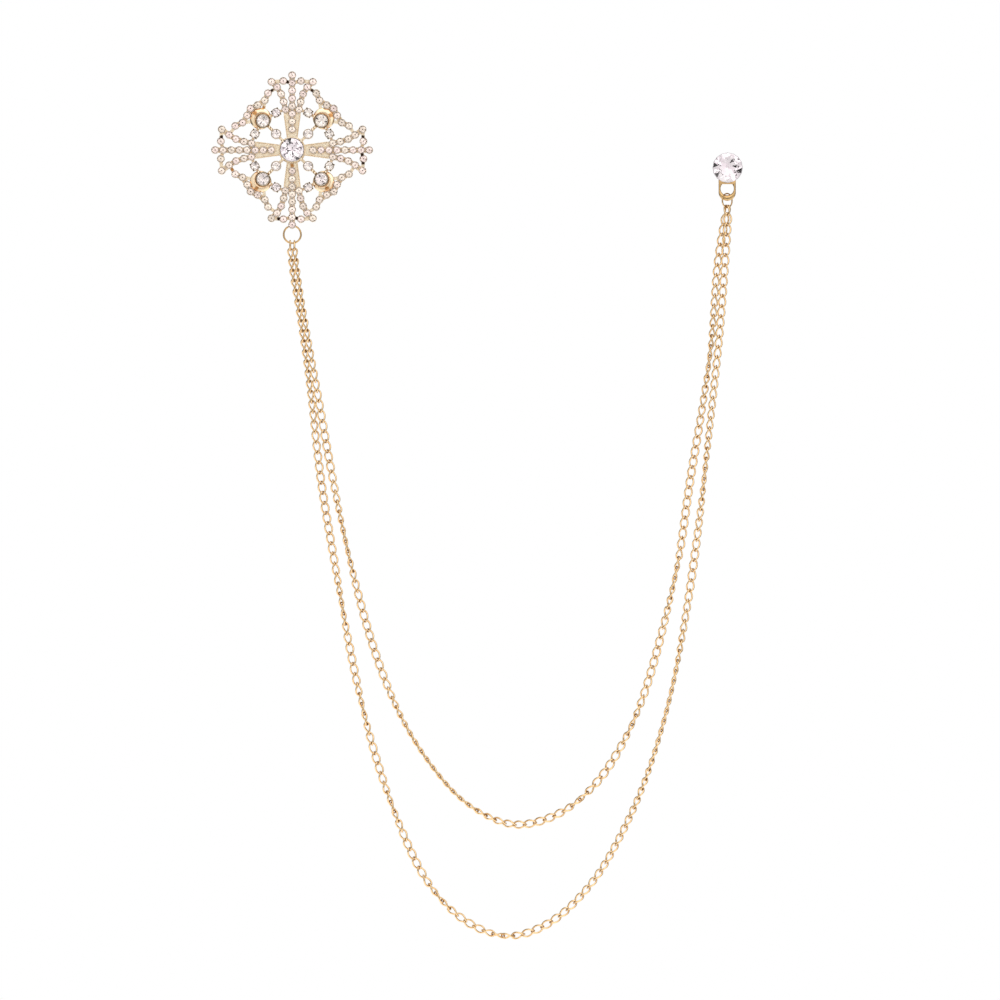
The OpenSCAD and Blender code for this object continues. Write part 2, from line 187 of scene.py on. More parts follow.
# Turned parts of the stud: radius and height of their profiles, in millimetres.
BASKET = (
    (0, -1.1), (2.86, -1.1), (3.0, -0.98), (3.0, -0.08), (3.06, -0.02), (3.4, 0.0), (3.5, 0.1),
    (3.5, 2.66), (3.46, 2.76), (3.36, 2.8), (3.12, 2.8), (3.02, 2.76), (3.0, 2.66), (3.0, 0.55),
    (2.94, 0.44), (2.8, 0.4), (0, 0.4))
POST = (
    (0, -9.75), (0.25, -9.75), (0.42, -9.62), (0.5, -9.4), (0.5, -8.3), (0.43, -8.15),
    (0.43, -7.95), (0.5, -7.8), (0.5, -1.0))
CLUTCH = (
    (0.55, 3.08), (0.63, 3.0), (2.8, 3.0), (2.95, 3.06), (3.0, 3.2), (3.0, 4.0), (2.95, 4.14),
    (2.8, 4.2), (2.3, 4.2), (2.22, 4.26), (2.2, 4.36), (2.2, 6.4), (2.14, 6.55), (2.0, 6.6),
    (0.63, 6.6), (0.55, 6.52))

# Pin, in millimetres: half the bar's length and height, its thickness, the posts' width and how
# far back they reach, then how far back the stem lies, and its radius at places along it.
PIN_HALF_L = 12.0
PIN_HALF_H = 1.2
PIN_T = 0.65
PIN_POST_W = 1.6
PIN_POST_BACK = 3.65
STEM_BACK = 2.85
STEM = ((0, -11.2), (0.45, -11.2), (0.45, 6.5), (0.4, 8.5), (0.3, 10.0), (0.16, 11.0), (0, 11.2))

# Routes of the chains' middle lines, in metres, from the brooch's end links to the stud's.
LONG_ROUTE = (
    (-0.0006, 0.00078, -0.02731), (0, 0.0013, -0.034), (0.002, 0.0013, -0.046),
    (0.005, 0.0012, -0.067), (0.008, 0.0006, -0.092), (0.012, 0, -0.116), (0.0165, 0, -0.141),
    (0.022, 0, -0.1645),
    (0.029, 0, -0.1855), (0.037, 0, -0.2025), (0.047, 0, -0.2135), (0.0595, 0, -0.2185),
    (0.072, 0, -0.2145), (0.083, 0, -0.204), (0.091, 0, -0.191), (0.0985, 0, -0.174),
    (0.105, 0, -0.152), (0.1095, 0, -0.1285), (0.113, 0, -0.104), (0.116, -0.0006, -0.077),
    (0.1185, -0.0011, -0.0535), (0.1202, -0.0012, -0.032), (0.12113, -0.00087, -0.01742),
)
SHORT_ROUTE = (
    (0.0006, -0.00078, -0.02731), (0.0015, -0.0013, -0.034), (0.0033, -0.0013, -0.046),
    (0.007, -0.0012, -0.0675), (0.011, -0.0006, -0.09), (0.016, 0, -0.114), (0.0225, 0, -0.138),
    (0.03, 0, -0.157), (0.039, 0, -0.1715), (0.049, 0, -0.182), (0.0615, 0, -0.1875),
    (0.074, 0, -0.1845), (0.084, 0, -0.1765), (0.0915, 0, -0.1655), (0.0975, 0, -0.152),
    (0.103, 0, -0.133), (0.1075, 0, -0.113), (0.1105, 0.0005, -0.0925), (0.114, 0.0011, -0.0715),
    (0.1165, 0.0012, -0.0535), (0.1182, 0.0012, -0.032), (0.12067, 0.00087, -0.01742),
)

# How far the chains are turned from lying face on: distance along in millimetres, and degrees.
LONG_TURNS = (
    (0, -60), (6, -70), (31, -67), (50, -43), (60, -13), (64, -5), (80, 5), (86, 17), (104, 107),
    (112, 169), (120, 197), (126, 249), (134, 297), (140, 343), (148, 377), (156, 440), (162, 482),
    (168, 524), (176, 549), (178, 559), (184, 612), (190, 654), (195, 701), (200, 739), (214, 879),
    (216, 892), (222, 912), (226, 936), (233, 945), (256, 949), (279, 983), (302, 996), (306, 1005),
    (312, 1026), (320, 1043), (326, 1066), (335, 1093), (340, 1117), (346, 1131), (352, 1156),
    (366, 1206), (376, 1218), (412, 1242), (430, 1264),
)
SHORT_TURNS = (
    (0, -61), (5, -75), (15, -74), (38, -42), (48, -8), (62, 12), (67, 40), (78, 79), (88, 100),
    (98, 152), (102, 170), (106, 177), (116, 183), (120, 190), (128, 238), (134, 256), (138, 263),
    (148, 269), (164, 272), (168, 281), (172, 298), (182, 346), (191, 376), (200, 462), (206, 519),
    (208, 532), (215, 558), (222, 612), (234, 693), (238, 710), (248, 730), (252, 755), (262, 793),
    (270, 818), (272, 829), (276, 868), (279, 882), (285, 897), (301, 906), (312, 941), (320, 956),
    (325, 980), (332, 1000), (338, 1025), (356, 1051), (370, 1080),
)

# The light tent: its even light, then for each lamp and each gap in the white cloth the direction
# of its middle, the angles in degrees where it is full and where it ends, and the light that it
# adds or the share that is missing.
TENT_LIGHT = 0.2
TENT_LAMPS = (
    ((0.0, -1.0, 0.0), 45, 80, 0.68),
    ((0.0, 1.0, 0.0), 35, 60, 0.7),
    ((0.25, -0.85, 0.55), 20, 45, 0.6),
    ((0.0, -0.2, 1.0), 20, 50, 0.8),
)
TENT_GAPS = (
    ((0.03, -1.0, -0.03), 4, 8, 0.93),
    ((1.0, -0.55, -0.1), 17, 22, 0.98),
    ((-1.0, -0.6, -0.3), 17, 22, 0.98),
    ((0.3, -0.8, -0.7), 9, 13, 0.98),
)

# The photograph is square: its middle, below and right of the brooch, and its width, in metres.
PHOTO_MIDDLE = Vector((0.05774, 0, -0.09721))
PHOTO_WIDTH = 0.278
# Round card with a rolled edge: radius and height of its profile, in metres.
CARD_PROFILE = ((0, 0), (0.3, 0), (0.55, 0), (0.78, -0.002), (0.8, -0.01))


def linear(code):
    """Linear colour of an sRGB hex code."""
    channels = [int(code[i:i + 2], 16) / 255 for i in (0, 2, 4)]
    return tuple(c / 12.92 if c <= 0.04045 else ((c + 0.055) / 1.055) ** 2.4 for c in channels)


def opaque(colour):
    return (*colour, 1.0)


def per_mm(size):
    """Noise scale that gives features of a size in millimetres."""
    return 1.0 / (size * MM)


def length_setting(name, description, default):
    """A length in metres that the panel shows."""
    return bpy.props.FloatProperty(
        name=name, description=description, default=default, unit="LENGTH", precision=6)


def colour_setting(name, description, code):
    """A colour that the panel shows, given as its sRGB hex code."""
    return bpy.props.FloatVectorProperty(
        name=name, description=description, default=linear(code), subtype="COLOR")


class BroochSettings(bpy.types.PropertyGroup):
    rim_wire: length_setting("Cup rim", "Thickness of the rounded rim on each small cup", 0.00014)
    prong_r: length_setting("Prong", "Radius of the prongs that hold a small stone", 0.00013)
    milgrain_r: length_setting("Milgrain", "Radius of the grains along the arms", 0.00018)
    milgrain_pitch: length_setting("Milgrain pitch", "Distance from grain to grain", 0.0004)
    collet_grains: bpy.props.IntProperty(
        name="Collet grains", description="Number of grains on each milled collet", default=30)
    gold: colour_setting("Gold", "Colour of the gold plating", "FDF3E0")
    deep_gold: colour_setting("Deep gold", "Colour of the plating where it is thicker", "F5E1BE")
    # The rims' greyed colours are painted shade from the gap between each stone and its cup.
    rim_shade_tone: colour_setting("Rims", "Colour of the browned rims", "EDE4DA")
    rim_deep_shade_tone: colour_setting("Deep rims", "Colour of the rims where they are browner", "CCBEB0")
    # The amber is painted shade, orange from light bounced between gold faces.
    orange_shade: colour_setting("Amber", "Colour of the lacquer that has pooled on the brooch", "BF8A55")
    # The patina also colours the painted shadows in the joins between small cups.
    patina_and_shade: colour_setting("Patina", "Colour of the darkened collets", "35241B")


class StoneSettings(bpy.types.PropertyGroup):
    tilt: bpy.props.FloatProperty(
        name="Tilt", description="Most that a small stone leans in its cup",
        default=math.radians(6.0), subtype="ANGLE")
    seed: bpy.props.IntProperty(
        name="Seed", description="Choice of how the stones are turned", default=7)
    small_foil: colour_setting("Small foil", "Colour of the foil behind the small stones", "F8F1EA")
    middling_foil: colour_setting(
        "Middling foil", "Colour of the foil in the collets, cups and claws", "FEFAF7")
    large_foil: colour_setting("Large foil", "Colour of the foil behind the larger stones", "F9F6F8")


class ChainSettings(bpy.types.PropertyGroup):
    wire: length_setting("Wire", "Diameter of the chain's wire", 0.0005)
    half_length: length_setting("Half length", "Half the length of a link's middle line", 0.00181)
    half_width: length_setting("Half width", "Half the width of a link's middle line", 0.001)
    pitch: length_setting("Pitch", "Distance from link to link", 0.00284)
    end_twist: bpy.props.FloatProperty(
        name="End twist", description="Turn of each end of a link against its middle",
        default=math.radians(55.0), subtype="ANGLE")
    gold: colour_setting("Gold", "Colour of the chains' plating", "F5DAAE")
    deep_gold: colour_setting("Deep gold", "Colour of the plating where it is thicker", "EDC389")
    fitting_gold: colour_setting(
        "Fittings", "Colour of the duller plating on the rings and the stud", "E0C290")
    deep_fitting_gold: colour_setting(
        "Deep fittings", "Colour of the fittings' plating where it is thicker", "CDA26A")


class StageSettings(bpy.types.PropertyGroup):
    distance: length_setting("Distance", "How far the camera stands from the back of the pin", 2.4)
    floor_drop: length_setting("Floor", "Height of the floor below the origin", 0.45)
    card: colour_setting("Card", "Colour of the floor's white card", "FBFAF8")


def node(tree, kind, inputs=None, **settings):
    """Adds a node, sets it up, and sets or links its inputs, by name or number."""
    made = tree.nodes.new(kind)
    for name, value in settings.items():
        setattr(made, name, value)
    for name, value in (inputs or {}).items():
        if isinstance(value, bpy.types.NodeSocket):
            tree.links.new(value, made.inputs[name])
        else:
            made.inputs[name].default_value = value
    return made


def new_material(name):
    """A new material, its tree, and the object's own coordinates in it."""
    material = bpy.data.materials.new(name)
    material.use_nodes = True
    tree = material.node_tree
    tree.nodes.clear()
    place = node(tree, "ShaderNodeTexCoord").outputs["Object"]
    return material, tree, place


def plated_metal(
        name, light, deep, corner_shade, corner_shade_share, roughness, grain_mm, relief_mm, corner_mm=0.6):
    """Electroplated metal: cloudy tone, fine grain that varies the polish, painted shade in corners."""
    # The grain is drawn coarser than a real plating's, so that it shows.
    material, tree, place = new_material(name)
    clouds = node(tree, "ShaderNodeTexNoise", {
        "Vector": place, "Scale": per_mm(2.2), "Detail": 3.0, "Roughness": 0.5})
    tone = node(tree, "ShaderNodeMix", {
        0: clouds.outputs["Fac"], 6: opaque(light), 7: opaque(deep)}, data_type="RGBA")
    # Painted shade: the colour turns towards a darker one where other surfaces stand close, in corners
    # and between parts.
    corners = node(tree, "ShaderNodeAmbientOcclusion", {"Distance": corner_mm * MM}, samples=4)
    shade_mask = node(tree, "ShaderNodeMapRange", {
        "Value": corners.outputs["AO"], "From Min": 0.25, "From Max": 0.85,
        "To Min": corner_shade_share, "To Max": 0.0})
    shaded_tone = node(tree, "ShaderNodeMix", {
        0: shade_mask.outputs["Result"], 6: tone.outputs[2], 7: opaque(corner_shade)}, data_type="RGBA")
    grain = node(tree, "ShaderNodeTexNoise", {
        "Vector": place, "Scale": per_mm(grain_mm), "Detail": 2.0, "Roughness": 0.6})
    polish = node(tree, "ShaderNodeMapRange", {
        "Value": grain.outputs["Fac"], "To Min": roughness * 0.75, "To Max": roughness * 1.35})
    relief = node(tree, "ShaderNodeBump", {
        "Strength": 0.6, "Distance": relief_mm * MM, "Height": grain.outputs["Fac"]})
    skin = node(tree, "ShaderNodeBsdfPrincipled", {
        "Base Color": shaded_tone.outputs[2], "Metallic": 1.0,
        "Roughness": polish.outputs["Result"], "Normal": relief.outputs["Normal"]})
    node(tree, "ShaderNodeOutputMaterial", {"Surface": skin.outputs["BSDF"]})
    return material


def painted_shade_patches(material, colour, places, radius):
    """Paints ragged shade over the front of a plated metal, about places on the brooch's face."""
    tree = material.node_tree
    skin = next(n for n in tree.nodes if n.type == "BSDF_PRINCIPLED")
    unshaded_colour = skin.inputs["Base Color"].links[0].from_socket
    place = node(tree, "ShaderNodeTexCoord").outputs["Object"]
    on_face = node(tree, "ShaderNodeVectorMath", {
        0: place, 1: (1, 0, 1)}, operation="MULTIPLY").outputs["Vector"]
    nearest = None
    for x, y in places:
        away = node(tree, "ShaderNodeVectorMath", {
            0: on_face, 1: Vector((x, 0, y)) * MM}, operation="DISTANCE").outputs["Value"]
        nearest = away if nearest is None else node(
            tree, "ShaderNodeMath", {0: nearest, 1: away}, operation="MINIMUM").outputs[0]
    ragged = node(tree, "ShaderNodeTexNoise", {"Vector": place, "Scale": per_mm(0.5), "Detail": 2.0})
    raggedness = 0.8 * radius * MM
    edge = node(tree, "ShaderNodeMath", {
        0: ragged.outputs["Fac"], 1: raggedness, 2: nearest}, operation="MULTIPLY_ADD")
    forward = node(tree, "ShaderNodeVectorMath", {
        0: place, 1: (0, -1, 0)}, operation="DOT_PRODUCT").outputs["Value"]
    front = node(tree, "ShaderNodeMapRange", {
        "Value": forward, "From Min": SHADE_BEGINS * MM, "From Max": SHADE_FULL * MM})
    full = 0.9 * radius * MM
    gone = 1.3 * radius * MM
    cover = node(tree, "ShaderNodeMapRange", {
        "Value": edge.outputs[0], "From Min": full, "From Max": gone,
        "To Min": front.outputs["Result"], "To Max": 0.0})
    tone = node(tree, "ShaderNodeMix", {
        0: cover.outputs["Result"], 6: unshaded_colour, 7: opaque(colour)}, data_type="RGBA")
    tree.links.new(tone.outputs[2], skin.inputs["Base Color"])


def cut_glass(name, tint):
    """Machine cut crystal glass: clear, with crisp facets and the faint haze of handling."""
    material, tree, place = new_material(name)
    haze = node(tree, "ShaderNodeTexNoise", {"Vector": place, "Scale": per_mm(0.5), "Detail": 2.0})
    polish = node(tree, "ShaderNodeMapRange", {
        "Value": haze.outputs["Fac"], "From Min": 0.35, "From Max": 0.75,
        "To Min": 0.0, "To Max": 0.03})
    skin = node(tree, "ShaderNodeBsdfPrincipled", {
        "Base Color": opaque(tint), "Roughness": polish.outputs["Result"], "IOR": 1.55,
        "Transmission Weight": 1.0})
    node(tree, "ShaderNodeOutputMaterial", {"Surface": skin.outputs["BSDF"]})
    return material


def mirror_foil(name, light, other):
    """Silvered back of a stone: a mirror, with a cast of colour that drifts from stone to stone."""
    material, tree, place = new_material(name)
    drift = node(tree, "ShaderNodeTexNoise", {"Vector": place, "Scale": per_mm(3.0), "Detail": 0.0})
    spread = node(tree, "ShaderNodeMapRange", {
        "Value": drift.outputs["Fac"], "From Min": 0.4, "From Max": 0.6})
    tone = node(tree, "ShaderNodeMix", {
        0: spread.outputs["Result"], 6: opaque(light), 7: opaque(other)}, data_type="RGBA")
    skin = node(tree, "ShaderNodeBsdfPrincipled", {
        "Base Color": tone.outputs[2], "Metallic": 1.0, "Roughness": 0.03})
    node(tree, "ShaderNodeOutputMaterial", {"Surface": skin.outputs["BSDF"]})
    return material


def bare_lacquer(name, colour):
    """Lacquer behind the foil, bare where the foil has worn off: dull, slightly mottled, and dark."""
    material, tree, place = new_material(name)
    mottle = node(tree, "ShaderNodeTexNoise", {"Vector": place, "Scale": per_mm(0.3), "Detail": 2.0})
    tone = node(tree, "ShaderNodeMix", {
        0: mottle.outputs["Fac"], 6: opaque(colour), 7: opaque([c * 0.5 for c in colour])},
        data_type="RGBA")
    skin = node(tree, "ShaderNodeBsdfPrincipled", {"Base Color": tone.outputs[2], "Roughness": 0.5})
    node(tree, "ShaderNodeOutputMaterial", {"Surface": skin.outputs["BSDF"]})
    return material


def girdle_glass_with_shade(name, colour):
    """Unpolished edge of a stone: a frosted ring in painted grey shade that draws the stone's outline.
    """
    # The frost is drawn coarser than the grit that ground it, so that it shows.
    material, tree, place = new_material(name)
    frost = node(tree, "ShaderNodeTexNoise", {"Vector": place, "Scale": per_mm(0.2), "Detail": 2.0})
    tone = node(tree, "ShaderNodeMix", {
        0: frost.outputs["Fac"], 6: opaque(colour), 7: opaque([c * 0.7 for c in colour])},
        data_type="RGBA")
    skin = node(tree, "ShaderNodeBsdfPrincipled", {
        "Base Color": tone.outputs[2], "Roughness": 0.5, "IOR": 1.55})
    node(tree, "ShaderNodeOutputMaterial", {"Surface": skin.outputs["BSDF"]})
    return material


def white_card(name, colour):
    """Matt white card, lit through from below so that it shows without a shadow line."""
    material, tree, place = new_material(name)
    fibre = node(tree, "ShaderNodeTexNoise", {"Vector": place, "Scale": per_mm(1.5), "Detail": 2.0})
    relief = node(tree, "ShaderNodeBump", {
        "Strength": 0.2, "Distance": 0.05 * MM, "Height": fibre.outputs["Fac"]})
    skin = node(tree, "ShaderNodeBsdfPrincipled", {
        "Base Color": opaque(colour), "Roughness": 0.9, "Normal": relief.outputs["Normal"],
        "Emission Color": opaque(colour), "Emission Strength": 0.5})
    node(tree, "ShaderNodeOutputMaterial", {"Surface": skin.outputs["BSDF"]})
    return material


class Shape:
    """Points and faces of one piece, in metres, gathered before its mesh is made."""

    def __init__(self):
        self.points = []
        self.faces = []
        self.slots = []
        self.smooth = []

    def add(self, part, slot=0):
        """Adds a rounded part, which is its points in millimetres and its faces."""
        points, faces = part
        start = len(self.points)
        self.points.extend(Vector(p) * MM for p in points)
        self.cover(start, faces, slot, True)
        return start

    def cover(self, start, faces, slot, smooth):
        """Adds faces over the points from a number on."""
        for face in faces:
            self.faces.append([start + i for i in face])
            self.slots.append(slot)
            self.smooth.append(smooth)

    def piece(self, name, materials, nodes=()):
        """Makes the object, which rides on the body and stands for the nodes that it is given."""
        mesh = bpy.data.meshes.new(name)
        mesh.from_pydata(self.points, [], self.faces)
        for material in materials:
            mesh.materials.append(material)
        mesh.polygons.foreach_set("material_index", self.slots)
        mesh.polygons.foreach_set("use_smooth", self.smooth)
        mesh.update()
        made = bpy.data.objects.new(name, mesh)
        bpy.context.scene.collection.objects.link(made)
        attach(made, BODY)
        if nodes:
            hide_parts(*nodes)
        return made


def stand(point):
    """Stands up a point that is drawn lying down."""
    return Vector((point[0], -point[2] - PLATE_BACK, point[1]))


def moved(part, move):
    points, faces = part
    return [move(p) for p in points], faces


def stood(part, place=(0, 0), quarter=0, shift=(0, 0, 0)):
    """Stands up a part drawn lying down about its own middle, at a place turned by quarter turns."""
    turn = Matrix.Rotation(math.radians(90 * quarter), 3, "Z")
    offset = Vector((place[0], place[1], 0))
    return moved(part, lambda p: stand(turn @ (Vector(p) + offset)) + Vector(shift))


def sheath(rings, sides, closed):
    """Faces over rings of points, one after another, and from the last to the first if closed."""
    faces = []
    for i in range(rings if closed else rings - 1):
        here = i * sides
        there = (i + 1) % rings * sides
        for k in range(sides):
            m = (k + 1) % sides
            faces.append([here + k, here + m, there + m, there + k])
    return faces


def tube(path, radius, sides, closed, side):
    """Round wire along a path that never runs parallel to the side vector."""
    count = len(path)
    points = []
    for i, middle in enumerate(path):
        after = path[(i + 1) % count] if closed else path[min(i + 1, count - 1)]
        before = path[i - 1] if closed else path[max(i - 1, 0)]
        ahead = (after - before).normalized()
        u = side.cross(ahead).normalized()
        v = ahead.cross(u)
        for k in range(sides):
            angle = 2 * math.pi * k / sides
            points.append(middle + (u * math.cos(angle) + v * math.sin(angle)) * radius)
    faces = sheath(count, sides, closed)
    if not closed:
        faces.append(list(range(sides))[::-1])
        faces.append([(count - 1) * sides + k for k in range(sides)])
    return points, faces


def around(middle, reach, angle):
    """The place at a distance and an angle from a middle."""
    return (middle[0] + reach * math.cos(angle), middle[1] + reach * math.sin(angle))


def circle(r, z, count):
    return [Vector((*around((0, 0), r, 2 * math.pi * k / count), z)) for k in range(count)]


def rim(r, z, thickness, count, sides=8):
    """Round wire laid in a ring about the middle, at a height."""
    return tube(circle(r, z, count), thickness / 2, sides, closed=True, side=Vector((0, 0, 1)))


def turned(profile, count, closed=False):
    """Turned part: a profile of radius and height about the z axis, with points at zero radius."""
    points = []
    rows = []
    for r, z in profile:
        if r == 0:
            rows.append([len(points)] * count)
            points.append(Vector((0, 0, z)))
        else:
            rows.append(list(range(len(points), len(points) + count)))
            points.extend(circle(r, z, count))
    faces = []
    for low, high in zip(rows, rows[1:] + rows[:1] if closed else rows[1:]):
        for k in range(count):
            m = (k + 1) % count
            face = []
            for corner in (low[k], low[m], high[m], high[k]):
                if corner not in face:
                    face.append(corner)
            if len(face) > 2:
                faces.append(face)
    return points, faces


def grain(r, z, sink, count):
    """Small ball whose middle is at a height, cut off below at a share of its radius."""
    steps = [-sink, 0.0, 0.5, 0.85]
    profile = [(r * math.sqrt(1 - s * s), z + r * s) for s in steps]
    return turned(profile + [(0, z + r)], count)


def softened_box(low, high, bevel):
    """Box with rounded edges."""
    work = bmesh.new()
    bmesh.ops.create_cube(work, size=1.0)
    for vertex in work.verts:
        for axis in range(3):
            vertex.co[axis] = low[axis] if vertex.co[axis] < 0 else high[axis]
    bmesh.ops.bevel(work, geom=work.edges[:], offset=bevel, segments=3, profile=0.5, affect="EDGES")
    work.verts.index_update()
    points = [v.co.copy() for v in work.verts]
    faces = [[v.index for v in face.verts] for face in work.faces]
    work.free()
    return points, faces


def outward(points, faces):
    """The faces of a solid that bulges everywhere, all listed to face outwards."""
    middle = sum(points, Vector()) / len(points)
    turned_out = []
    for face in faces:
        a, b, c = (points[i] for i in face[:3])
        if (b - a).cross(c - a).dot(a - middle) < 0:
            face = face[::-1]
        turned_out.append(face)
    return turned_out


def parted(faces, chosen):
    """The faces that aren't chosen by number, and those that are."""
    return [f for i, f in enumerate(faces) if i not in chosen], [faces[i] for i in chosen]


def worn_facets_of(chance, count):
    """Numbers of some of a brilliant's pavilion facets, picked by chance."""
    return tuple(chance.sample(range(PAVILION_FACETS), count))


def chaton(r):
    """Small stone: octagonal table, eight crown facets, eight pavilion facets and a clipped culet."""
    table_r = 0.58 * r
    crown_h = 0.32 * r
    culet_r = CULET * r
    points = circle(table_r, crown_h, 8) + circle(r, 0, 8)
    points += circle(culet_r, PAVILION_SLOPE * (culet_r - r), 8)
    crown = [list(range(8))] + [[k, 8 + k, 8 + (k + 1) % 8, (k + 1) % 8] for k in range(8)]
    pavilion = [[8 + k, 16 + k, 16 + (k + 1) % 8, 8 + (k + 1) % 8] for k in range(8)]
    faces = outward(points, crown + pavilion + [list(range(16, 24))])
    return points, faces[:9], faces[9:17], faces[17:]


def crescent():
    """Domed crescent between its round outline and the wall of the collet that it hugs."""
    steps = 56
    rows = (
        (0.0, -0.1), (0.0, 0.2), (0.15, 0.28), (0.35, 0.32), (0.6, 0.28), (0.8, 0.18),
        (0.93, 0.08), (1.0, 0.0), (1.0, -0.1))
    offset = Vector(CORNER_AT) - Vector(CRESCENT_AT)
    wall = CORNER_CUP_R - 0.05
    points = []
    for along, up in rows:
        for k in range(steps):
            angle = 2 * math.pi * k / steps
            out = Vector((math.cos(angle), math.sin(angle)))
            towards = out.dot(offset)
            inner = towards + math.sqrt(towards ** 2 - offset.length_squared + wall ** 2)
            reach = inner + (CRESCENT_R - inner) * along
            points.append(Vector((
                CRESCENT_AT[0] + out.x * reach, CRESCENT_AT[1] + out.y * reach, PLATE_T + up)))
    faces = [[a, d, c, b] for a, b, c, d in sheath(len(rows), steps, True)]
    return points, faces


def half_step(points, count):
    """The same ring of points turned by half a step."""
    turn = Matrix.Rotation(math.pi / count, 3, "Z")
    return [turn @ p for p in points]


def brilliant(r, worn_facets):
    """Larger stone: table, stars, kites, girdle facets, and a pavilion of kites and halves."""
    crown_h = 0.3 * r
    girdle_h = 0.05 * r
    table_r = 0.57 * r
    star_r = 0.76 * r
    edge_r = 0.96 * r
    star_z = girdle_h + crown_h * (edge_r - star_r * math.cos(math.pi / 8)) / (edge_r - table_r)
    lower_r = 0.42 * r
    lower_z = -PAVILION_SLOPE * r * (1 - lower_r * math.cos(math.pi / 8) / r)
    inner_r = 0.45 * r
    # Points by number: table from 0, stars 8, crown's edge 16, girdle 32, lower halves 48, culet 56,
    # and the ring between the kites' two parts 57.
    points = circle(table_r, girdle_h + crown_h, 8) + half_step(circle(star_r, star_z, 8), 8)
    points += circle(edge_r, girdle_h, 16) + circle(r, 0, 16)
    points += half_step(circle(lower_r, lower_z, 8), 8) + [Vector((0, 0, -PAVILION_SLOPE * r))]
    points += circle(inner_r, PAVILION_SLOPE * (inner_r - r), 8)
    crown = [list(range(8))]
    pavilion = []
    for k in range(8):
        following = (2 * k + 2) % 16
        crown.append([k, 8 + k, (k + 1) % 8])
        crown.append([k, 8 + (k + 7) % 8, 16 + 2 * k])
        crown.append([k, 16 + 2 * k, 8 + k])
        crown.append([8 + k, 16 + 2 * k, 17 + 2 * k])
        crown.append([8 + k, 17 + 2 * k, 16 + following])
        pavilion.append([48 + k, 33 + 2 * k, 32 + 2 * k])
        pavilion.append([48 + k, 32 + following, 33 + 2 * k])
        for side in (48 + k, 48 + (k + 7) % 8):
            pavilion.append([56, side, 57 + k])
            pavilion.append([57 + k, side, 32 + 2 * k])
    girdle = [[16 + k, 32 + k, 32 + (k + 1) % 16, 16 + (k + 1) % 16] for k in range(16)]
    faces = outward(points, crown + pavilion + girdle)
    whole, worn = parted(faces[len(crown):-16], worn_facets)
    return points, faces[:len(crown)], whole, worn, faces[-16:]


def swapped(place):
    return (place[1], place[0])


def mirrored(place):
    return (-place[0], place[1])


def shortfall(arm):
    return UPRIGHT_SHORT if arm % 2 == 0 else 0.0


def arm_places(arm):
    """Places of an arm's small stones, drawn for the top arm."""
    short = shortfall(arm)
    step = (LEVEL_REACH - short - COLUMN_FIRST) / (COLUMN_COUNT - 1)
    places = [(0.0, COLUMN_FIRST + i * step) for i in range(COLUMN_COUNT)]
    for place in (*EDGE_ROW, (EAR[0], EAR[1] - short), (ARC[0], ARC[1] - short)):
        places += [mirrored(place), place]
    return places


def border_places():
    """Places of a border's small stones, drawn for the top right."""
    return [*BORDER_HALF, BORDER_MIDDLE, *(swapped(p) for p in reversed(BORDER_HALF))]


def small_fields():
    """Every field of small stones: its node, its quarter turns, and its places."""
    fields = [(f"arm_stones_{name}", k, arm_places(k)) for k, name in enumerate(ARMS)]
    fields += [(f"border_stones_{name}", k + 1, border_places()) for k, name in enumerate(CORNERS)]
    return fields


def side_places(corner):
    """Places of a quadrant's two side stones, with the ends of their nodes' names."""
    if corner % 2 == 1:
        return (("upright", SIDE_AT), ("level", swapped(SIDE_AT)))
    return (("upright", swapped(SIDE_AT)), ("level", SIDE_AT))


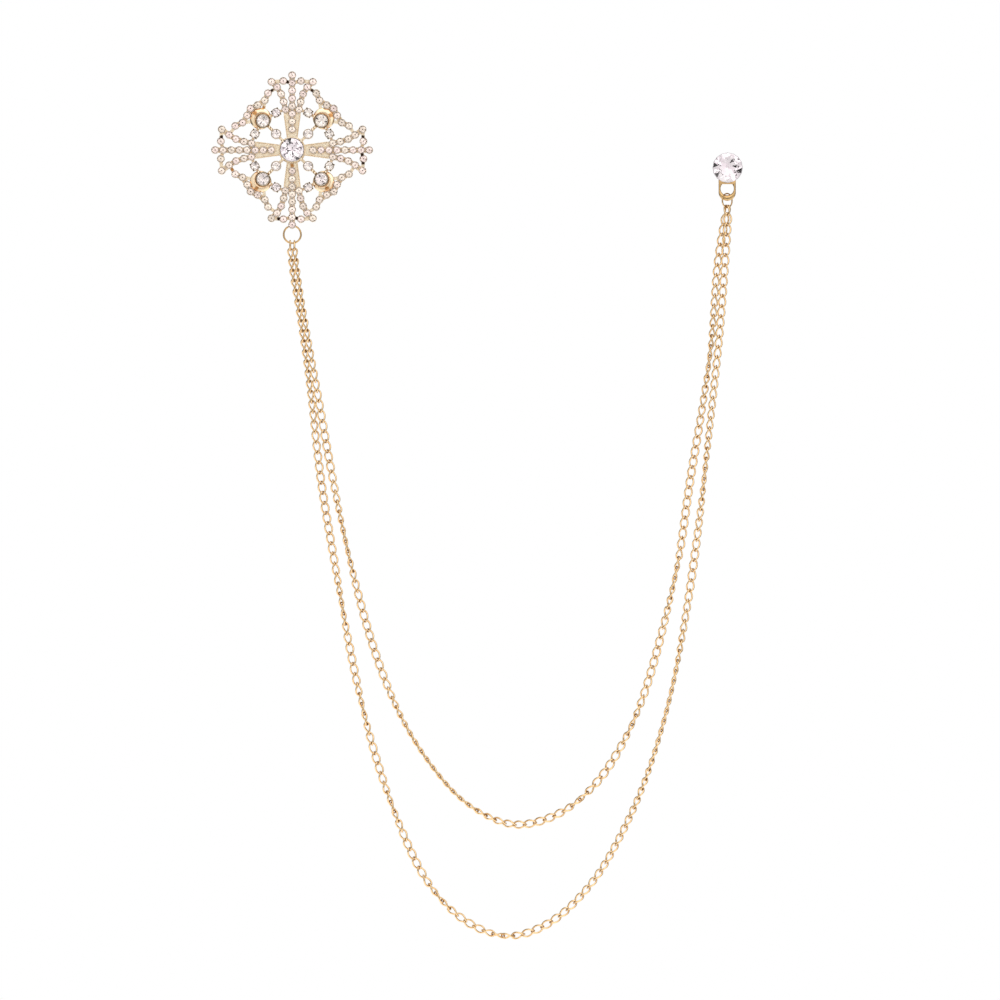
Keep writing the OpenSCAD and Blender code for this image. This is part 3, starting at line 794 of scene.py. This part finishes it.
class LAPELCHAIN_OT_stage(bpy.types.Operator):
    """Sets up the camera, the white card floor and the light tent"""
    bl_idname = "lapelchain.stage"
    bl_label = "Stage"

    def execute(self, context):
        settings = context.scene.lapelchain_stage
        self.camera(context.scene, settings)
        self.floor(settings)
        self.light_tent(context.scene)
        context.scene.view_settings.view_transform = "Standard"
        return {"FINISHED"}

    def camera(self, scene, settings):
        """Looks straight at the brooch's face and takes in the photograph's square."""
        lens = bpy.data.cameras.new("camera")
        lens.sensor_width = 36
        lens.lens = lens.sensor_width * settings.distance / PHOTO_WIDTH
        lens.clip_start = 0.05
        lens.clip_end = 20
        camera = bpy.data.objects.new("camera", lens)
        camera.location = PHOTO_MIDDLE - Vector((0, settings.distance, 0))
        camera.rotation_euler = (math.pi / 2, 0, 0)
        scene.collection.objects.link(camera)
        scene.camera = camera

    def floor(self, settings):
        """Round card below the chains, with a rolled edge."""
        points, faces = turned(CARD_PROFILE, 64)
        middle = (CAD_BOX[0] + CAD_BOX[1]) / 2
        shift = Vector((middle.x, 0, -settings.floor_drop))
        mesh = bpy.data.meshes.new("floor")
        mesh.from_pydata([p + shift for p in points], [], faces)
        mesh.materials.append(white_card("matt_white_card", settings.card))
        floor = bpy.data.objects.new("floor", mesh)
        bpy.context.scene.collection.objects.link(floor)

    def light_tent(self, scene):
        """White tent lit from outside: brightest above and in front, with darker gaps beside it."""
        world = bpy.data.worlds.new("light_tent")
        world.use_nodes = True
        tree = world.node_tree
        tree.nodes.clear()
        towards = node(tree, "ShaderNodeTexCoord").outputs["Generated"]

        def patch(middle, full, end, outside, inside):
            """From one value to another inside a soft round patch of the tent, angles in degrees."""
            facing = node(tree, "ShaderNodeVectorMath", {
                0: towards, 1: Vector(middle).normalized()}, operation="DOT_PRODUCT")
            return node(tree, "ShaderNodeMapRange", {
                "Value": facing.outputs["Value"], "From Min": math.cos(math.radians(end)),
                "From Max": math.cos(math.radians(full)), "To Min": outside, "To Max": inside},
                interpolation_type="SMOOTHSTEP").outputs["Result"]

        light = node(tree, "ShaderNodeValue").outputs[0]
        light.default_value = TENT_LIGHT
        for middle, full, end, amount in TENT_LAMPS:
            lamp = patch(middle, full, end, 0.0, amount)
            light = node(tree, "ShaderNodeMath", {0: light, 1: lamp}, operation="ADD").outputs[0]
        for middle, full, end, missing in TENT_GAPS:
            gap = patch(middle, full, end, 1.0, 1.0 - missing)
            light = node(tree, "ShaderNodeMath", {0: light, 1: gap}, operation="MULTIPLY").outputs[0]
        tent = node(tree, "ShaderNodeBackground", {
            "Color": opaque(linear("FFFDFB")), "Strength": light})
        wall = node(tree, "ShaderNodeBackground", {"Color": opaque(linear("FFFFFF")), "Strength": 1.0})
        seen = node(tree, "ShaderNodeLightPath").outputs["Is Camera Ray"]
        both = node(tree, "ShaderNodeMixShader", {
            0: seen, 1: tent.outputs["Background"], 2: wall.outputs["Background"]})
        node(tree, "ShaderNodeOutputWorld", {"Surface": both.outputs["Shader"]})
        scene.world = world


class LAPELCHAIN_OT_brooch(bpy.types.Operator):
    """Plates the brooch's frame and dresses its settings with rims, prongs, claws, grains and beads"""
    bl_idname = "lapelchain.brooch"
    bl_label = "Brooch"

    def execute(self, context):
        settings = context.scene.lapelchain_brooch
        # Light gold plating over a brass casting, barrel polished: pale, soft highlights, slight grain.
        # The tan is painted shade in the corners and between the parts.
        plating = plated_metal(
            "light_gold_plated_casting", settings.gold, settings.deep_gold, linear("C99A62"),
            corner_shade_share=0.8, roughness=0.24, grain_mm=0.35, relief_mm=0.03)
        # Darkened plating left in the milling: brown, with a dull gleam on the grains.
        # The near black is painted shade between the grains.
        patina_and_shade = plated_metal(
            "darkened_gold_milling", settings.patina_and_shade, linear("241710"), linear("120B07"),
            corner_shade_share=0.8, roughness=0.3, grain_mm=0.2, relief_mm=0.02)
        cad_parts["brooch_frame"].data.materials.clear()
        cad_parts["brooch_frame"].data.materials.append(plating)
        # Brown left in the seams of the small cups' rims, over the same plating.
        # The cups' rims, over the same plating: greyed as painted shade from the gap about each stone,
        # with brown painted shade where they are shut in.
        greyed_rim_metal = plated_metal(
            "rims_greyed_by_painted_shade", settings.rim_shade_tone, settings.rim_deep_shade_tone, linear("3A281A"),
            corner_shade_share=0.8, roughness=0.25, grain_mm=0.25, relief_mm=0.01)
        self.small_settings(settings, plating, greyed_rim_metal)
        self.milgrain(settings, plating)
        self.collets(settings, patina_and_shade, plating)
        # Hand polished crescents: the brightest gold, with orange painted shade where they are shut in.
        polished = plated_metal(
            "polished_gold_crescents", linear("FFF1D9"), linear("FADFB2"), linear("C4752B"),
            corner_shade_share=0.95, roughness=0.2, grain_mm=0.5, relief_mm=0.01, corner_mm=1.1)
        # Painted shade: orange patches where crescents meet the cups, dark shadows in the joins.
        for metal in (plating, polished):
            painted_shade_patches(metal, settings.orange_shade, ORANGE_SHADE_AT, ORANGE_SHADE_R)
        for metal in (plating, greyed_rim_metal):
            painted_shade_patches(metal, settings.patina_and_shade, DARK_SHADE_AT, DARK_SHADE_R)
        self.larger_settings(plating, greyed_rim_metal, polished, patina_and_shade)
        return {"FINISHED"}

    def small_settings(self, settings, plating, greyed_rim_metal):
        """A rounded rim and four prongs on each small cup."""
        thickness = settings.rim_wire / MM
        ring = rim(SMALL_CUP_R - thickness / 2, SMALL_CUP_H, thickness, count=24, sides=6)
        prong = grain(settings.prong_r / MM, PRONG_H, sink=0.5, count=8)
        chance = random.Random(PRONG_SEED)
        for name, quarter, places in small_fields():
            shape = Shape()
            for place in places:
                shape.add(stood(ring, place, quarter), 1)
                turn = chance.uniform(0, 90)
                for k in range(4):
                    at = around(place, PRONG_REACH, math.radians(turn + 90 * k))
                    shape.add(stood(prong, at, quarter))
            shape.piece(name.replace("stones", "cup_rims"), [plating, greyed_rim_metal])

    def milgrain(self, settings, plating):
        """Rows of grains along both edges of each arm's tapered bar."""
        shape = Shape()
        ball = grain(settings.milgrain_r / MM, PLATE_T + 0.02, sink=0.35, count=10)
        start = Vector(MILGRAIN_FROM)
        end = Vector(MILGRAIN_TO)
        count = int((end - start).length / (settings.milgrain_pitch / MM))
        for arm in range(4):
            for i in range(count + 1):
                place = tuple(start.lerp(end, i / count))
                for at in (place, mirrored(place)):
                    shape.add(stood(ball, at, arm))
        shape.piece("arm_milgrain", [plating])

    def collets(self, settings, *materials):
        """Milled collets: a ring of darkened grains on the lip, and a plated wire round the foot."""
        shape = Shape()
        for quarter in range(1, 5):
            shape.add(stood(rim(*COLLET_FOOT), CORNER_AT, quarter), 1)
            shape.add(stood(rim(*COLLET_LIP), CORNER_AT, quarter))
            for k in range(settings.collet_grains):
                angle = 2 * math.pi * k / settings.collet_grains
                at = around(CORNER_AT, COLLET_GRAIN_REACH, angle)
                shape.add(stood(grain(*COLLET_GRAIN), at, quarter))
        shape.piece("collet_milling", materials)

    def larger_settings(self, *materials):
        """Rims, rounded claw ends and beads, in plating, painted shade rims, polished and darkened
        gold.
        """
        shape = Shape()
        shape.add(stood(rim(*CENTRE_RIM)))
        for k in range(4):
            at = around((0, 0), CENTRE_CLAW_REACH, math.radians(45 + 90 * k))
            shape.add(stood(grain(*CENTRE_CLAW), at))
        dome = crescent()
        for quarter in range(1, 5):
            shape.add(stood(rim(*CORNER_RIM), CORNER_AT, quarter))
            shape.add(stood(rim(*INNER_RIM), INNER_AT, quarter), 1)
            shape.add(stood(dome, (0, 0), quarter), 2)
            for at in BEADS_ON_DIAGONAL:
                shape.add(stood(grain(*BEAD), at, quarter))
            for flip in (tuple, swapped):
                shape.add(stood(rim(*SIDE_RIM), flip(SIDE_AT), quarter), 1)
                shape.add(stood(grain(*BEAD), flip(BEAD_BESIDE), quarter))
                for k in range(4):
                    at = around(SIDE_AT, SIDE_CUP_R, math.radians(SIDE_CLAW_TURN + 90 * k))
                    shape.add(stood(grain(*SIDE_CLAW), flip(at), quarter), 3)
        shape.piece("larger_settings", materials)


class LAPELCHAIN_OT_stones(bpy.types.Operator):
    """Sets a foiled and faceted glass stone in each cup, collet and claw setting"""
    bl_idname = "lapelchain.stones"
    bl_label = "Stones"

    def execute(self, context):
        settings = context.scene.lapelchain_stones
        chance = random.Random(settings.seed)
        # Clear crystal glass, the small stones a shade warmer than the larger ones.
        small = [
            cut_glass("warm_crystal_glass", linear("FFFEFC")),
            mirror_foil("pale_foil", settings.small_foil, linear("FBF1EF")),
            bare_lacquer("brown_foil_lacquer", linear("33261E"))]
        # Larger stones: facets that have lost their foil look black, and the girdle is left ground,
        # its grey painted shade that draws each stone's outline.
        girdle_shade = girdle_glass_with_shade("frosted_girdle_painted_shade", linear("DAD3DA"))
        large = [
            cut_glass("clear_crystal_glass", linear("FFFFFF")),
            mirror_foil("silver_foil", settings.large_foil, linear("FAF4F8")),
            bare_lacquer("black_foil_lacquer", linear("15131A")),
            girdle_shade]
        # Middling stones: brighter foil than the small ones, with a few worn facets.
        middling = [
            small[0],
            mirror_foil("bright_foil", settings.middling_foil, linear("F7F2F3")),
            large[2],
            girdle_shade]
        wear = random.Random(WEAR_SEED)
        small_cut = chaton(SMALL_R)
        for name, quarter, places in small_fields():
            shape = Shape()
            for place in places:
                self.stone(shape, small_cut, place, quarter, SMALL_CUP_H, chance, settings.tilt)
            shape.piece(name.replace("stones", "cut_stones"), small, [name])
        centre = brilliant(CENTRE_R, WORN_ON_CENTRE)
        self.one("centre_stone", centre, (0, 0), 0, CENTRE_H, chance, large)
        for corner, name in enumerate(CORNERS):
            quarter = corner + 1
            collet = brilliant(CORNER_R, worn_facets_of(wear, 3))
            self.one(f"corner_stone_{name}", collet, CORNER_AT, quarter, CORNER_H, chance, middling)
            inner = brilliant(INNER_R, worn_facets_of(wear, 3))
            self.one(f"inner_stone_{name}", inner, INNER_AT, quarter, INNER_H, chance, middling)
            for end, place in side_places(corner):
                side = brilliant(SIDE_R, worn_facets_of(wear, 4))
                self.one(f"side_stone_{name}_{end}", side, place, quarter, SIDE_H, chance, middling)
        shape = Shape()
        stud = brilliant(STUD_R, WORN_ON_STUD)
        self.stone(shape, stud, (0, 0), 0, STUD_GIRDLE + GIRDLE_DROP, chance, 0.0, STUD_AT)
        shape.piece("stud_cut_stone", large, ["stud_stone"])
        return {"FINISHED"}

    def one(self, name, cut, place, quarter, height, chance, materials):
        """A larger stone of its own, for the CAD node of that name."""
        shape = Shape()
        self.stone(shape, cut, place, quarter, height, chance, math.radians(LARGE_TILT))
        shape.piece(name.replace("stone", "cut_stone"), materials, [name])

    def stone(self, shape, cut, place, quarter, height, chance, tilt, shift=(0, 0, 0)):
        """One stone, turned and leaning a little, with its girdle just below the rim."""
        points, *groups = cut
        turn = Matrix.Rotation(chance.uniform(0, 2 * math.pi), 3, "Z")
        lean = Matrix.Rotation(chance.uniform(-tilt, tilt), 3, "X")
        sitting = Vector((0, 0, height - GIRDLE_DROP))
        points = [lean @ turn @ p + sitting for p in points]
        start = shape.add(stood((points, []), place, quarter, shift))
        for slot, faces in enumerate(groups):
            shape.cover(start, faces, slot, False)


class LAPELCHAIN_OT_pin(bpy.types.Operator):
    """Makes the brooch's pin: a bar, two rounded posts, and a stem drawn to a point"""
    bl_idname = "lapelchain.pin"
    bl_label = "Pin"

    def execute(self, context):
        settings = context.scene.lapelchain_brooch
        # Stamped brass bar and drawn stem under the same plating: smoother than the casting.
        # The brown is painted shade in the corners of the bar and posts.
        plating = plated_metal(
            "light_gold_plated_brass", settings.gold, settings.deep_gold, linear("8C5A30"),
            corner_shade_share=0.6, roughness=0.17, grain_mm=0.6, relief_mm=0.01)
        shape = Shape()
        shape.add(softened_box(
            (-PIN_HALF_L, -PIN_T, -PIN_HALF_H), (PIN_HALF_L, 0.0, PIN_HALF_H), bevel=0.18))
        for left in (-PIN_HALF_L, PIN_HALF_L - PIN_POST_W):
            low = (left, -PIN_T, -PIN_HALF_H)
            high = (left + PIN_POST_W, PIN_POST_BACK, PIN_HALF_H)
            shape.add(softened_box(low, high, bevel=0.3))
        shape.add(moved(turned(STEM, 16), lambda p: Vector((p.z, STEM_BACK + p.x, p.y))))
        shape.piece("pin_and_bar", [plating], ["brooch_pin"])
        return {"FINISHED"}


def hung_ring(ring):
    """Jump ring with its hairline joint, in its upright plane."""
    joint = math.radians(1.2)
    start = math.radians(120)
    turn = Matrix.Rotation(math.radians(ring["turn"]), 3, "Z")
    middle = Vector(ring["middle"])
    steps = 56
    path = []
    for k in range(steps + 1):
        angle = start + joint / 2 + (2 * math.pi - joint) * k / steps
        x, z = around((0, 0), ring["r"], angle)
        path.append(middle + turn @ Vector((x, 0, z)))
    return tube(path, ring["wire"] / 2, sides=14, closed=False, side=turn @ Vector((0, 1, 0)))


def end_link(ring, at, lean, wire):
    """Oval link that hangs on a ring's wire, at a place along the wire, with a lean in degrees."""
    top = ring["wire"] / 2 + HANG_GAP + wire / 2
    turn = Matrix.Rotation(math.radians(ring["turn"]), 3, "Z")
    tip = Matrix.Rotation(math.radians(lean), 3, "X")
    foot = Vector((at, 0, -math.sqrt(ring["r"] ** 2 - at ** 2)))
    steps = 28
    path = []
    for k in range(steps):
        angle = 2 * math.pi * k / steps
        drop = END_LINK_L / 2 * math.cos(angle) + top - END_LINK_L / 2
        point = tip @ Vector((0, END_LINK_W / 2 * math.sin(angle), drop))
        path.append(turn @ (foot + point) + Vector(ring["middle"]))
    return tube(path, wire / 2, sides=12, closed=True, side=turn @ Vector((1, 0, 0)))


def chain_gold(context):
    """Light gold plating on drawn wire: pale and bright, smooth along the wire."""
    known = bpy.data.materials.get("light_gold_plated_wire")
    settings = context.scene.lapelchain_chain
    # The dark brown is painted shade where the links lie close on one another.
    return known or plated_metal(
        "light_gold_plated_wire", settings.gold, settings.deep_gold, linear("84501E"),
        corner_shade_share=0.9, roughness=0.16, grain_mm=0.5, relief_mm=0.01)


class LAPELCHAIN_OT_rings(bpy.types.Operator):
    """Makes the two jump rings and the four end links"""
    bl_idname = "lapelchain.rings"
    bl_label = "Rings and end links"

    def execute(self, context):
        settings = context.scene.lapelchain_chain
        # Jump rings bent from plated wire after plating: the same gold, a shade duller.
        # The brown is painted shade where the links hang on the rings.
        dull = plated_metal(
            "dull_gold_plated_rings", settings.fitting_gold, settings.deep_fitting_gold,
            linear("74461A"), corner_shade_share=0.9, roughness=0.2, grain_mm=0.5, relief_mm=0.01)
        gold = chain_gold(context)
        wire = settings.wire / MM
        for name, ring in (("brooch_ring", BROOCH_RING), ("stud_ring", STUD_RING)):
            shape = Shape()
            shape.add(hung_ring(ring))
            shape.piece(f"{name}_wire", [dull], [name])
        for name, ring, at, lean in END_LINKS:
            shape = Shape()
            shape.add(end_link(ring, at, lean, wire))
            shape.piece(f"{name}_wire", [gold], [name])
        return {"FINISHED"}


def smooth_route(route):
    """Points on the smooth curve through a route, in millimetres."""
    steps = 24
    points = [Vector(p) / MM for p in route]
    made = []
    for i in range(len(points) - 1):
        p0 = points[max(i - 1, 0)]
        p1 = points[i]
        p2 = points[i + 1]
        p3 = points[min(i + 2, len(points) - 1)]
        for k in range(steps):
            t = k / steps
            made.append((2 * p1 + (p2 - p0) * t + (2 * p0 - 5 * p1 + 4 * p2 - p3) * t * t
                         + (3 * p1 - p0 - 3 * p2 + p3) * t * t * t) / 2)
    made.append(points[-1])
    return made


def lengths_along(points):
    lengths = [0.0]
    for before, after in zip(points, points[1:]):
        lengths.append(lengths[-1] + (after - before).length)
    return lengths


def between(table, distance):
    """Value at a distance in a table of distance and value, on straight lines from row to row."""
    if distance <= table[0][0]:
        return table[0][1]
    for (d0, v0), (d1, v1) in zip(table, table[1:]):
        if distance <= d1:
            return v0 + (v1 - v0) * (distance - d0) / (d1 - d0)
    return table[-1][1]


def squared(value, power):
    """Bends a sine or cosine so that the oval that it draws fills out towards a rectangle."""
    return math.copysign(abs(value) ** power, value)


def link_path(middle, ahead, turn, half_length, half_width, end_twist):
    """Middle line of a curb link: an oval whose two ends are twisted against each other."""
    steps = 24
    face = Vector((0, -1, 0))
    face = (face - ahead * face.dot(ahead)).normalized()
    across = face.cross(ahead)
    face, across = (
        face * math.cos(turn) + across * math.sin(turn),
        across * math.cos(turn) - face * math.sin(turn))
    path = []
    for k in range(steps):
        angle = 2 * math.pi * k / steps
        twist = end_twist * math.cos(angle)
        side = across * math.cos(twist) + face * math.sin(twist)
        path.append(
            middle + ahead * half_length * math.cos(angle) + side * half_width * math.sin(angle))
    return path, face


def chain_links(route, turns, settings):
    """Middle lines and faces of every link of a chain, from its first end to its last."""
    points = smooth_route(route)
    lengths = lengths_along(points)
    coordinates = [[(d, p[axis]) for d, p in zip(lengths, points)] for axis in range(3)]
    half = settings.half_length / MM
    room = lengths[-1] - 2 * half
    count = round(room / (settings.pitch / MM)) + 1
    pitch = room / (count - 1)
    links = []
    for i in range(count):
        first, last = (
            Vector([between(c, i * pitch + d) for c in coordinates]) for d in (0, 2 * half))
        turn = math.radians(between(turns, i * pitch + half))
        links.append(link_path(
            (first + last) / 2, (last - first).normalized(), turn, half,
            settings.half_width / MM, settings.end_twist))
    return links


class LAPELCHAIN_OT_chains(bpy.types.Operator):
    """Makes both curb chains of separate, interlocking twisted links"""
    bl_idname = "lapelchain.chains"
    bl_label = "Chains"

    def execute(self, context):
        settings = context.scene.lapelchain_chain
        gold = chain_gold(context)
        for name, route, turns in (
            ("long_chain", LONG_ROUTE, LONG_TURNS), ("short_chain", SHORT_ROUTE, SHORT_TURNS),
        ):
            shape = Shape()
            for path, face in chain_links(route, turns, settings):
                shape.add(tube(path, settings.wire / 2 / MM, sides=10, closed=True, side=face))
            shape.piece(f"{name}_links", [gold], [name])
        return {"FINISHED"}


class LAPELCHAIN_OT_stud(bpy.types.Operator):
    """Makes the stud's basket, post and loop, and the clutch behind the cloth"""
    bl_idname = "lapelchain.stud"
    bl_label = "Stud"

    def execute(self, context):
        settings = context.scene.lapelchain_chain
        # Turned brass under light gold plating: even and smooth, with a slight grain.
        # The brown is painted shade where the stud's parts meet.
        gold = plated_metal(
            "light_gold_plated_turning", settings.fitting_gold, settings.deep_fitting_gold,
            linear("8A5528"), corner_shade_share=0.7, roughness=0.17, grain_mm=0.4, relief_mm=0.01)
        shape = Shape()
        shape.add(stood(turned(BASKET, 64), shift=STUD_AT))
        shape.add(stood(turned(POST, 24), shift=STUD_AT))
        self.loop(shape)
        shape.piece("stud_cup_and_loop", [gold], ["stud_cup"])
        clutch = Shape()
        clutch.add(moved(
            turned(CLUTCH, 48, closed=True), lambda p: STUD_AT + Vector((p.x, p.z, -p.y))))
        clutch.piece("clutch", [gold], ["stud_clutch"])
        return {"FINISHED"}

    def loop(self, shape):
        """Loop with a D-shaped hole: a cushioned bow, closed by a flat shoulder under the basket."""
        slope = math.asin((LOOP_HOLE_TOP - LOOP_HOLE_UP) / LOOP_HOLE_R)
        hole = Vector((0, 0, LOOP_HOLE_UP))
        leg = 6
        bow = 32
        outline = []
        for k in range(leg + 1):
            rest = 1 - k / leg
            angle = math.pi - slope * rest
            inner = Vector((math.cos(angle), 0, math.sin(angle))) * LOOP_HOLE_R + hole
            outline.append((Vector((-LOOP_R, 0, LOOP_TOP * rest)), inner))
        for k in range(1, bow):
            angle = math.pi * (1 + k / bow)
            bend = Vector((math.cos(angle), 0, math.sin(angle)))
            outline.append((bend * LOOP_R, bend * LOOP_HOLE_R + hole))
        outline += [(Vector((-a.x, 0, a.z)), Vector((-b.x, 0, b.z)))
                    for a, b in reversed(outline[:leg + 1])]
        sides = 14
        cushion = 0.75
        points = []
        for outer, inner in outline:
            for k in range(sides):
                angle = 2 * math.pi * k / sides
                across = (outer - inner) / 2 * squared(math.cos(angle), cushion)
                thick = Vector((0, LOOP_T / 2 * squared(math.sin(angle), cushion), 0))
                points.append((outer + inner) / 2 + across + thick)
        place = Vector((STUD_AT.x, 0, LOOP_Z))
        faces = sheath(len(outline), sides, False)
        shape.add(moved((points, faces), lambda p: p + place))
        shoulder = softened_box(
            (-LOOP_R, -LOOP_T / 2, LOOP_HOLE_TOP), (LOOP_R, LOOP_T / 2, LOOP_TOP), bevel=0.12)
        shape.add(moved(shoulder, lambda p: p + place))


class LAPELCHAIN_PT_panel(bpy.types.Panel):
    """Lists what makes the lapel chain"""
    bl_idname = "LAPELCHAIN_PT_panel"
    bl_label = "Lapel chain"
    bl_space_type = "VIEW_3D"
    bl_region_type = "UI"
    bl_category = "Lapel chain"

    def draw(self, context):
        for operator in OPERATORS:
            self.layout.operator(operator.bl_idname)
        for name, _ in SETTINGS:
            column = self.layout.column()
            group = getattr(context.scene, name)
            for key in group.__annotations__:
                column.prop(group, key)


SETTINGS = (
    ("lapelchain_stage", StageSettings), ("lapelchain_brooch", BroochSettings),
    ("lapelchain_stones", StoneSettings), ("lapelchain_chain", ChainSettings))
OPERATORS = (
    LAPELCHAIN_OT_stage, LAPELCHAIN_OT_brooch, LAPELCHAIN_OT_stones, LAPELCHAIN_OT_pin,
    LAPELCHAIN_OT_rings, LAPELCHAIN_OT_chains, LAPELCHAIN_OT_stud)


def register():
    for name, group in SETTINGS:
        bpy.utils.register_class(group)
        setattr(bpy.types.Scene, name, bpy.props.PointerProperty(type=group))
    for operator in OPERATORS:
        bpy.utils.register_class(operator)
    bpy.utils.register_class(LAPELCHAIN_PT_panel)


def unregister():
    bpy.utils.unregister_class(LAPELCHAIN_PT_panel)
    for operator in reversed(OPERATORS):
        bpy.utils.unregister_class(operator)
    for name, group in reversed(SETTINGS):
        delattr(bpy.types.Scene, name)
        bpy.utils.unregister_class(group)


def main():
    register()
    bpy.ops.lapelchain.stage()
    bpy.ops.lapelchain.brooch()
    bpy.ops.lapelchain.stones()
    bpy.ops.lapelchain.pin()
    bpy.ops.lapelchain.rings()
    bpy.ops.lapelchain.chains()
    bpy.ops.lapelchain.stud()


if __name__ == "__main__":
    main()
